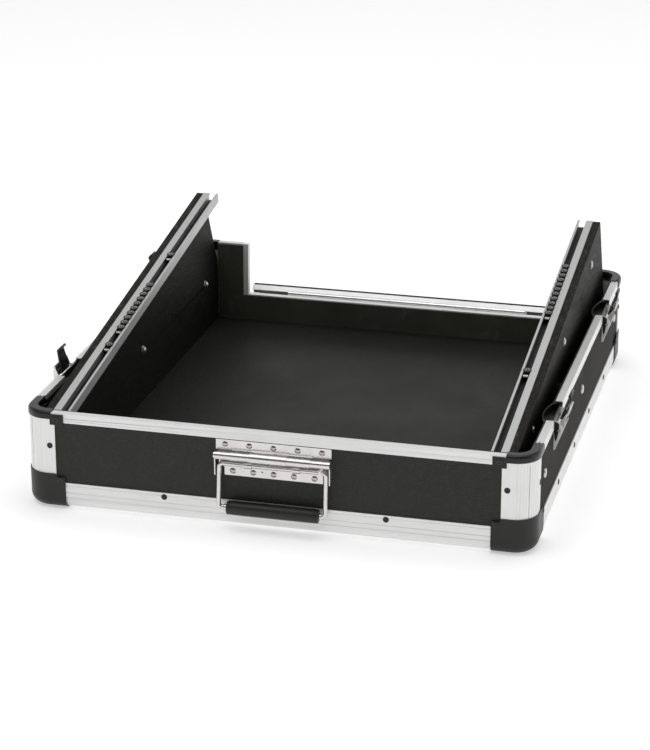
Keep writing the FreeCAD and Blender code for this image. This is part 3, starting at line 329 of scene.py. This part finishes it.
paint(laminate("laminate_front", TURN_FRONT), "front_panel", "rear_panel")
paint(SIDE_LAMINATE, "left_panel", "right_panel")
paint(FLOOR_LAMINATE, "base_panel")
paint(laminate("laminate_flap", TURN_NONE), "flap_panel")
paint(flat_black("lining"), "left_lining", "right_lining", "flap_lining")
# painted light: the rear lining is the same black lining in a tone about three times lighter, standing in for
# light on the rear wall's inside
paint(flat_black("rear_lining", (0.062, 0.066, 0.048)), "rear_lining")
paint(stained_plywood("rack_board"), "left_rack_board", "right_rack_board")
paint(
    aluminium("aluminium_across", ALONG_X),
    "front_trim", "rear_trims", "bottom_profile_front", "bottom_profile_rear", "flap_trim",
)
paint(
    aluminium("aluminium_deep", ALONG_Y),
    "left_trims", "right_trims", "bottom_profile_left", "bottom_profile_right",
)
paint(aluminium("aluminium_upright", ALONG_Z), "corner_profiles")
# painted light: the notch trim is the same aluminium made near white and mostly matt, so its shaded inner leg
# comes out lighter
paint(aluminium("aluminium_notch", ALONG_X, tone=0.95, metallic=0.15), "notch_trim")
paint(
    aluminium("rail_metal", ALONG_Y, rough=0.48, tone=0.62, metallic=0.72),
    "left_rack_rail", "right_rack_rail",
)
paint(
    ZINC,
    "rail_screws", "hinge_pin", "hinge_wall_leaf", "hinge_flap_leaf", "handle_spring", "handle_spring_rod",
)
paint(moulded("corner_plastic"), "ball_corners")
paint(moulded("cap_plastic", (0.0062, 0.0062, 0.0052), rough=0.32), "top_caps", "latch_blocks")
paint(moulded("rail_strip", (0.012, 0.012, 0.011), rough=0.55), "rail_inserts")
paint(OXIDE, *NUT_NODES, *HOOKS)
paint(CHROME, "handle_backplate", "handle_bail", *LEVERS)
paint(SATIN, "latch_bases")
paint(DULL, "wall_bolts", "board_spacers")

# ---- edges of the CAD nodes ---------------------------------------------------


def soften(width, *names):
    """Small rounded edges on CAD nodes, as modifiers, so that their edges catch light."""
    for name in names:
        piece = NODES[name]
        weld = piece.modifiers.new("joined", "WELD")
        weld.merge_threshold = SAME_POINT
        edge = piece.modifiers.new("rounded_edges", "BEVEL")
        edge.width = width * MM
        edge.segments = 2
        edge.limit_method = "ANGLE"
        edge.angle_limit = BEVEL_ANGLE
        edge.use_clamp_overlap = True
        edge.harden_normals = True


soften(0.18, "front_trim", "left_trims", "right_trims", "rear_trims", "notch_trim", "flap_trim")
soften(
    0.3, "left_rack_rail", "right_rack_rail", "latch_bases",
    "bottom_profile_front", "bottom_profile_rear", "bottom_profile_left", "bottom_profile_right",
    *LEVERS, *HOOKS,
)
soften(0.5, "top_caps", "latch_blocks")
soften(0.7, "left_rack_board", "right_rack_board", "left_lining", "right_lining", "rear_lining")

# ---- pieces built as meshes ------------------------------------------------------


class Build:
    """Collects the points and faces of one piece. Places are in metres, sizes and profiles in mm."""

    def __init__(self):
        self.points = []
        self.faces = []

    def add(self, points):
        """Adds points and gives back their numbers."""
        start = len(self.points)
        self.points += [tuple(p) for p in points]
        return list(range(start, len(self.points)))

    def skin(self, rows, closed=True):
        """Quads between rows of points; closed joins each row's end to its start."""
        for near, far in zip(rows, rows[1:]):
            count = len(near)
            for i in range(count if closed else count - 1):
                j = (i + 1) % count
                self.faces.append((near[i], near[j], far[j], far[i]))

    def cap(self, row, middle, flip=False):
        """A fan from a ring of points to one point in its middle."""
        centre = self.add([middle])[0]
        for i, a in enumerate(row):
            b = row[(i + 1) % len(row)]
            self.faces.append((b, a, centre) if flip else (a, b, centre))

    def turned(self, place, axis, profile, steps=24, bend=None):
        """A closed turned body. profile is (radius, height) pairs up the axis; bend moves heights."""
        up, right, ahead = square_frame(axis)
        place = Vector(place)
        rows = []
        for radius, height in profile:
            ring = []
            for i in range(steps):
                a = math.tau * i / steps
                x = radius * math.cos(a)
                y = radius * math.sin(a)
                lift = height + (bend(x, y, height) if bend else 0.0)
                ring.append(place + right * x * MM + ahead * y * MM + up * lift * MM)
            rows.append(self.add(ring))
        self.skin(rows)
        first = profile[0][1]
        last = profile[-1][1]
        last += bend(0.0, 0.0, last) if bend else 0.0
        self.cap(rows[0], place + up * first * MM, flip=True)
        self.cap(rows[-1], place + up * last * MM)

    def ring(self, place, axis, profile, steps=24):
        """A closed turned ring: the profile's end joins its start behind the surface."""
        up, right, ahead = square_frame(axis)
        rows = []
        spokes = [math.tau * i / steps for i in range(steps)]
        spokes = [right * math.cos(a) + ahead * math.sin(a) for a in spokes]
        for radius, height in profile:
            middle = place + up * height * MM
            rows.append(self.add(middle + spoke * radius * MM for spoke in spokes))
        self.skin(rows + rows[:1])

    def strip(self, start):
        """A thin spring leaf that rises from a nut's front end and curls over at its tip."""
        curve = [(0.0, 0.0), (1.2, 0.7), (2.4, 1.25), (3.6, 1.5), (4.8, 1.3), (5.6, 0.7), (5.9, 0.0)]
        half = 2.6                           # half width of the leaf
        thick = 0.45
        rows = []
        for along, rise in curve:
            middle = start + DOWN_RAIL * along * MM + OFF_RAIL * rise * MM
            corners = [(-half, 0.0), (half, 0.0), (half, thick), (-half, thick)]
            rows.append(self.add(middle + Vector((x * MM, 0, 0)) + OFF_RAIL * h * MM for x, h in corners))
        self.skin(rows)
        self.faces.append(tuple(reversed(rows[0])))
        self.faces.append(tuple(rows[-1]))

    def done(self, name, material, body, replaces=()):
        """Makes the object, hands it to the frame and gives it its finish."""
        data = bpy.data.meshes.new(name)
        data.from_pydata(self.points, [], self.faces)
        data.materials.append(material)
        data.update()
        made = bpy.data.objects.new(name, data)
        bpy.context.scene.collection.objects.link(made)
        data.shade_smooth()
        data.set_sharp_from_angle(angle=SHARP_ANGLE)
        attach(made, body)
        for node in replaces:
            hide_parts(node)
        return made


def square_frame(axis):
    """A unit axis and two more square to it."""
    up = Vector(axis).normalized()
    side = Vector((0, 0, 1)) if abs(up.z) < 0.9 else Vector((1, 0, 0))
    right = side.cross(up).normalized()
    return up, right, up.cross(right)


def islands(name):
    """The separate solids of a CAD node, each as the list of its points."""
    mesh = bmesh.new()
    mesh.from_mesh(NODES[name].data)
    bmesh.ops.remove_doubles(mesh, verts=mesh.verts, dist=SAME_POINT)
    left = set(mesh.verts)
    found = []
    while left:
        group = []
        queue = [left.pop()]
        while queue:
            vertex = queue.pop()
            group.append(vertex.co.copy())
            for e in vertex.link_edges:
                other = e.other_vert(vertex)
                if other in left:
                    left.remove(other)
                    queue.append(other)
        found.append(group)
    mesh.free()
    return found


def solid_boxes(name):
    """Lowest and highest corner of each separate solid of a CAD node."""
    boxes = []
    for points in islands(name):
        low = Vector([min(p[i] for p in points) for i in range(3)])
        high = Vector([max(p[i] for p in points) for i in range(3)])
        boxes.append((low, high))
    return boxes


def seats(name, axis, head, outward=None):
    """Where each fastener of a node sits: its head's foot and its outward direction.

    The solids lie along the given axis, or along the longer of X and Y where it is None.
    They point away from the case's middle unless outward gives a sign. Head is the head's height.
    """
    places = []
    for low, high in solid_boxes(name):
        size = high - low
        i = axis if axis is not None else max(range(2), key=lambda k: size[k])
        middle = (low + high) / 2
        sign = outward or (1 if middle[i] > 0 else -1)
        direction = Vector((0, 0, 0))
        direction[i] = sign
        foot = middle.copy()
        foot[i] = (high[i] if sign > 0 else low[i]) - sign * head * MM
        places.append((foot, direction))
    return places


def cross_recess(radius, depth):
    """Sinks a Phillips cross into a head of this radius."""
    arm = 0.62 * radius                      # reach of the cross from the middle
    half = 0.17 * radius                     # half width of an arm's flat bottom
    bank = 0.6 * half                        # width of its sloping sides
    taper = 0.5 * arm                        # length over which its end rises

    def bend(x, y, height):
        if height <= 0:
            return 0.0
        share = 0.0
        for along, across in ((x, y), (y, x)):
            sides = 1.0 - max(0.0, abs(across) - half) / bank
            ends = 1.0 - max(0.0, abs(along) - (arm - taper)) / taper
            share = max(share, min(max(sides, 0.0), max(ends, 0.0)))
        return -depth * share

    return bend


def domed(radius, height, rings=8):
    """Profile of a low dome on a short upright rim, from the rim to near its middle."""
    rim = 0.3 * height
    profile = [(radius, 0.0), (radius, rim)]
    for i in range(1, rings + 1):
        r = radius * (1 - i / (rings + 1))
        profile.append((r, rim + (height - rim) * math.sqrt(1 - (r / radius) ** 2)))
    return profile


def ball_cap(radius, height, rings=10):
    """Profile of a cap cut from a ball, from its rim to near its middle."""
    ball = (radius ** 2 + height ** 2) / (2 * height)
    radii = [radius * (1 - i / (rings + 1)) for i in range(rings + 1)]
    return [(r, height - ball + math.sqrt(ball ** 2 - r ** 2)) for r in radii]


def crosshead_screws(name, node, axis, head, radius, material, outward=None):
    """Domed screws with cross recesses in place of a node's plain ones."""
    shank = 1.15
    length = 5.0
    b = Build()
    for foot, direction in seats(node, axis, head, outward):
        profile = [(shank, -length), (shank, -0.02)] + domed(radius, head)
        b.turned(foot, direction, profile, bend=cross_recess(radius, 0.62 * head))
    b.done(name, material, "case", [node])


def rail_fixings():
    """Pan-head screws on washers outside each rack board, with hexagon nuts on the rail's flange."""
    plain_head = 2.2                         # height of the CAD's heads
    washer_h = 0.65
    head_r = 4.0
    nut_inset = 10.5                         # from a head's foot to its nut's seat
    washer = [(2.0, 0.0), (5.0, 0.0), (5.2, 0.2), (5.2, 0.5), (4.9, washer_h), (2.0, washer_h)]
    screw = [(1.95, -13.9), (1.95, 0.6)] + [(r, h + 0.6) for r, h in domed(head_r, 1.6)]
    nut = [(3.0, 0.0), (3.35, 0.15), (3.4, 0.4), (3.4, 2.2), (3.35, 2.45), (3.0, 2.6)]
    b = Build()
    for foot, out in seats("rail_screws", 0, plain_head):
        b.turned(foot, out, washer)
        b.turned(foot, out, screw, bend=cross_recess(head_r, 1.1))
        b.turned(foot - out * nut_inset * MM, -out, nut, HEXAGON)
    b.done("rail_fixings", DULL, "case", ["rail_screws"])


def cap_nuts():
    """Hexagon cap nuts with a flange and a domed end, inside each rack board."""
    flange = [(5.3, 0.0), (5.5, 0.15), (5.5, 0.55), (5.2, 0.75), (3.0, 0.8)]
    nut = [(4.3, 0.7), (4.75, 0.9), (4.75, 2.2), (4.3, 2.5), (2.0, 2.6)]
    dome_r = 3.7
    dome_rise = 1.9
    turns = (0.0, 0.3, 0.6, 0.9, 1.15, 1.35)
    dome = [(dome_r * math.cos(t), 2.5 + dome_rise * math.sin(t)) for t in turns]
    b = Build()
    for foot, out in seats("wall_bolt_nuts", 0, 0.0):
        b.turned(foot, -out, flange)
        b.turned(foot, -out, nut, HEXAGON)
        b.turned(foot, -out, [(dome_r, 2.0)] + dome)
    b.done("cap_nuts", DULL, "case", ["wall_bolt_nuts"])


def domed_rivets(name, node, axis, head, radius, shank, length):
    """Plated rivets with smooth heads like caps of a ball."""
    b = Build()
    for foot, out in seats(node, axis, head):
        profile = [(shank, -length), (shank, -0.01)] + ball_cap(radius, head)
        b.turned(foot, out, profile, 32)
    b.done(name, RIVET, "case", [node])


def grip_sleeve():
    """Rubber sleeve of the handle: faintly crowned, with a groove near each end and rolled rims."""
    low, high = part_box("handle_grip")
    middle = (Vector(low) + Vector(high)) / 2
    length = (high[0] - low[0]) / MM
    radius = 0.994 * (high[2] - low[2]) / 2 / MM     # keeps the sleeve inside the CAD grip's box
    # share of the radius and distance from the end, up to the grip's middle
    half = [
        (0.90, 0.0), (0.955, 0.35), (0.985, 0.9), (0.99, 1.8), (0.985, 2.6), (0.955, 2.85),
        (0.955, 3.4), (0.985, 3.65), (0.992, 6.0), (0.995, 14.0), (1.0, 30.0),
    ]
    profile = [(r * radius, d) for r, d in half] + [(r * radius, length - d) for r, d in reversed(half)]
    b = Build()
    b.turned((low[0], middle.y, middle.z), (1, 0, 0), profile, 40)
    b.done("grip_sleeve", GRIP, "handle", ["handle_grip"])
    ends = Build()
    collar = [(2.5, 0.0), (3.3, 0.15), (3.6, 0.5), (3.6, 3.4), (3.3, 3.8), (2.5, 4.0)]
    gap = 0.05
    for end, out in ((high[0], 1), (low[0], -1)):
        ends.turned((end + out * gap * MM, middle.y, middle.z), (out, 0, 0), collar, 28)
    ends.done("grip_collars", CHROME, "handle")


def nut_places(node):
    """The middle of each nut's collar at its top, front nut first."""
    level = 0.05 * MM                        # points this near to the highest one lie on the collar's top
    tops = []
    for points in islands(node):
        height = max(p.dot(OFF_RAIL) for p in points)
        rim = [p for p in points if height - p.dot(OFF_RAIL) < level]
        tops.append(sum(rim, Vector()) / len(rim))
    return sorted(tops, key=lambda p: p.y)


def nut_details():
    """Bright threads in the nuts' bores, and the spring leaf that shows in front of each first nut."""
    # outer sleeve, a rim that laps over the collar, then the thread's crests and roots down the bore
    thread = [(2.49, -0.5), (2.49, 0.03), (3.1, 0.05), (3.1, -0.02), (2.7, -0.05), (2.47, -0.3), (2.3, -0.35)]
    for turn in range(7):
        thread += [(2.1, -0.6 - turn), (2.36, -1.1 - turn)]
    thread += [(2.47, -8.0)]
    nut_front = 5.4                          # from a nut's middle to its front end
    leaf_depth = 3.6                         # of the leaf's foot under the collar's top
    for node in NUT_NODES:
        rings = Build()
        places = nut_places(node)
        for place in places:
            rings.ring(place, OFF_RAIL, thread)
        rings.done(f"{node}_threads", THREAD, node)
        leaf = Build()
        leaf.strip(places[0] + DOWN_RAIL * nut_front * MM - OFF_RAIL * leaf_depth * MM)
        leaf.done(f"{node}_spring", THREAD, node)


crosshead_screws(
    "edging_screw_heads", "edging_screws", axis=None, head=1.0, radius=3.2,
    material=OXIDE,
)
crosshead_screws(
    "hinge_screw_heads", "hinge_wall_screws", axis=1, head=0.8, radius=2.2,
    material=ZINC, outward=1,
)
rail_fixings()
cap_nuts()
domed_rivets("handle_rivet_heads", "handle_rivets", axis=1, head=1.3, radius=3.25, shank=1.55, length=6.5)
domed_rivets("latch_rivet_heads", "latch_rivets", axis=0, head=0.9, radius=2.35, shank=1.45, length=6.0)
grip_sleeve()
nut_details()

# ---- room, lights and camera -----------------------------------------------------


def floor():
    """A large pale floor that also glows a little, so that shadows stay soft."""
    half = 14.0
    s = Shader("floor_paper", specular=0.1)
    s.surface.inputs["Emission Color"].default_value = (1, 1, 1, 1)
    s.surface.inputs["Emission Strength"].default_value = 0.45
    cloud = s.noise(s.where(), scale=0.7, detail=2.0)
    paper = s.blend(s.span(cloud, 0.3, 0.7, 0.0, 1.0), (0.80, 0.80, 0.80), (0.82, 0.82, 0.82))
    data = bpy.data.meshes.new("floor")
    corners = [(-half, -half, 0), (half, -half, 0), (half, half, 0), (-half, half, 0)]
    data.from_pydata(corners, [], [(0, 1, 2, 3)])
    data.materials.append(s.finish(paper, 0.9))
    made = bpy.data.objects.new("floor", data)
    bpy.context.scene.collection.objects.link(made)


def sky():
    """White studio surroundings: one grey band all round and a dark stand above it on the handle side."""
    # upward part of the direction, 0 at the horizon and 1 overhead, and the brightness there
    bands = (
        (0.0, 0.78), (0.28, 0.98), (0.42, 0.98), (0.52, 0.42),
        (0.60, 0.31), (0.76, 0.34), (0.90, 0.68), (1.0, 0.75),
    )
    stand_share = 0.93
    stand_tone = (0.02, 0.02, 0.02)
    world = bpy.data.worlds.new("studio")
    world.use_nodes = True
    bpy.context.scene.world = world
    s = Graph(world.node_tree)
    place = s.node("TexCoord").outputs["Generated"]
    parts = s.node("SeparateXYZ", None, {0: place}).outputs
    ramp = s.node("ValToRGB", None, {"Fac": parts["Z"]})
    stops = ramp.color_ramp.elements
    stops.remove(stops[1])
    stops[0].color = (bands[0][1],) * 3 + (1,)
    for height, value in bands[1:]:
        stop = stops.new(height)
        stop.color = (value, value, value, 1)
    above = s.span(parts["Z"], 0.12, 0.26, 0.0, 1.0, smooth=True)
    below = s.span(parts["Z"], 0.96, 0.84, 0.0, 1.0, smooth=True)
    handle_side = s.span(parts["Y"], -0.05, -0.35, 0.0, 1.0, smooth=True)
    stand = s.math("MULTIPLY", s.math("MULTIPLY", above, below), handle_side)
    stand = s.math("MULTIPLY", stand, stand_share)
    back = world.node_tree.nodes["Background"]
    s.put(back.inputs["Color"], s.blend(stand, ramp.outputs["Color"], stand_tone))
    s.put(back.inputs["Strength"], 1.0)


def softbox(name, place, size, power):
    """A rectangular area light that looks at the middle of the case."""
    target = Vector((0, 0, 0.1))
    data = bpy.data.lights.new(name, "AREA")
    data.shape = "RECTANGLE"
    data.size = size[0]
    data.size_y = size[1]
    data.energy = power
    lamp = bpy.data.objects.new(name, data)
    lamp.location = place
    lamp.rotation_euler = (target - Vector(place)).to_track_quat("-Z", "Y").to_euler()
    bpy.context.scene.collection.objects.link(lamp)


def camera():
    """The camera at the photograph's viewing angle."""
    data = bpy.data.cameras.new("camera")
    data.sensor_width = 36.0
    data.lens = 119.18
    data.clip_end = 60.0
    made = bpy.data.objects.new("camera", data)
    made.location = (0.6401, -2.6048, 1.0654)
    look = Vector((-0.2316, 0.9074, -0.3507))
    made.rotation_euler = look.to_track_quat("-Z", "Y").to_euler()
    bpy.context.scene.collection.objects.link(made)
    bpy.context.scene.camera = made


floor()
sky()
softbox("key", place=(-0.9, -1.3, 3.4), size=(3.2, 2.4), power=34.0)
softbox("top", place=(0.4, 0.6, 3.0), size=(2.4, 1.6), power=18.0)
softbox("side", place=(2.8, 0.2, 1.4), size=(1.2, 1.6), power=5.0)
camera()
bpy.context.scene.view_settings.view_transform = "Standard"
